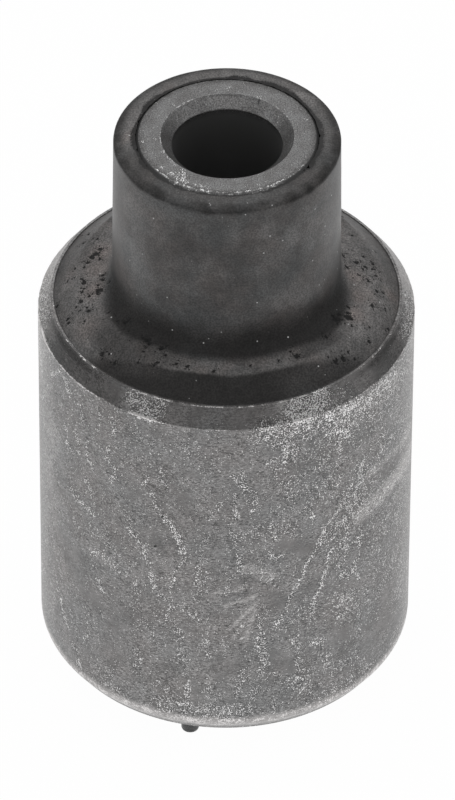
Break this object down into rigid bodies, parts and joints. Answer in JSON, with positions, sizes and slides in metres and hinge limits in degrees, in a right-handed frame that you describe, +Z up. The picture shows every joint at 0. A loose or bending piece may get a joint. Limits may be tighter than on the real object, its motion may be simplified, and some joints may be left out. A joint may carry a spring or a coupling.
{
  "type": "rubber metal bush",
  "caption": "Round rubber-to-metal bush: a bolted inner tube bonded by rubber inside a press-fit outer sleeve, with a long rubber-coated neck at one end.",
  "frame": {"origin": "centre of the inner sleeve's lower clamping face, on the axis of the bore", "axes": "+Z runs up the bore, towards the long neck; the moulding nib lies towards -Y and a little to -X"},
  "size_m": [0.05, 0.05, 0.088],
  "materials": {
    "inner_steel": "faced and countersunk mild steel, grey phosphate film with small bright knocks",
    "rubber": "matt black moulded natural rubber, dusty grey bloom, torn flash and small pits",
    "outer_steel": "drawn mild steel tube with a frosted grey phosphate film, fine scratches and worn edges"
  },
  "bodies": {
    "root": {"inner_sleeve": "inner_steel", "rubber_body": "rubber", "outer_sleeve": "outer_steel"}
  },
  "joints": []
}
